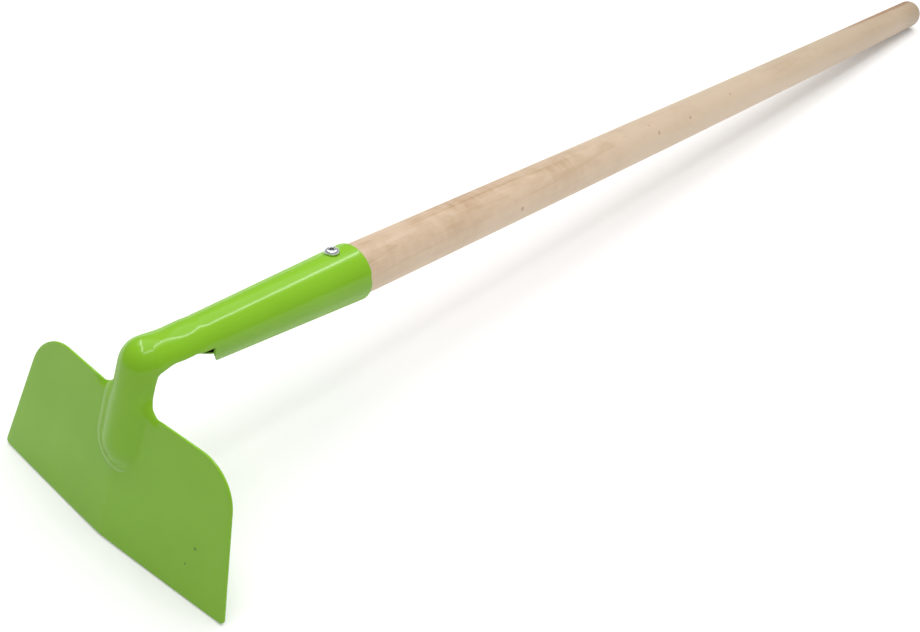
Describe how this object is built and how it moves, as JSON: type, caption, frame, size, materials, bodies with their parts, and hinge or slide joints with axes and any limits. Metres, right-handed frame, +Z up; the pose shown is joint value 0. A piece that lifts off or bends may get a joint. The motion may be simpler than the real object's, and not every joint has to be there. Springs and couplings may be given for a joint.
{
  "type": "garden hoe",
  "caption": "Light garden hoe: pressed steel blade with a ribbed gooseneck and rolled socket, screwed to a straight turned wooden handle.",
  "frame": {"origin": "on the ground, under the middle of the hoe as it lies at rest on its two lower blade corners and the butt of its handle", "axes": "+X from the blade towards the butt of the handle, along the ground; +Z up; +Y across the blade"},
  "size_m": [0.791, 0.1438, 0.0906],
  "materials": {
    "head_coat": "glossy lime green powder coat over pressed sheet steel",
    "handle_wood": "pale sanded close grained wood, no varnish",
    "screw_zinc": "bright zinc plated steel"
  },
  "bodies": {
    "root": {"hoe_head": "head_coat", "handle": "handle_wood", "socket_screw": "screw_zinc"}
  },
  "joints": []
}
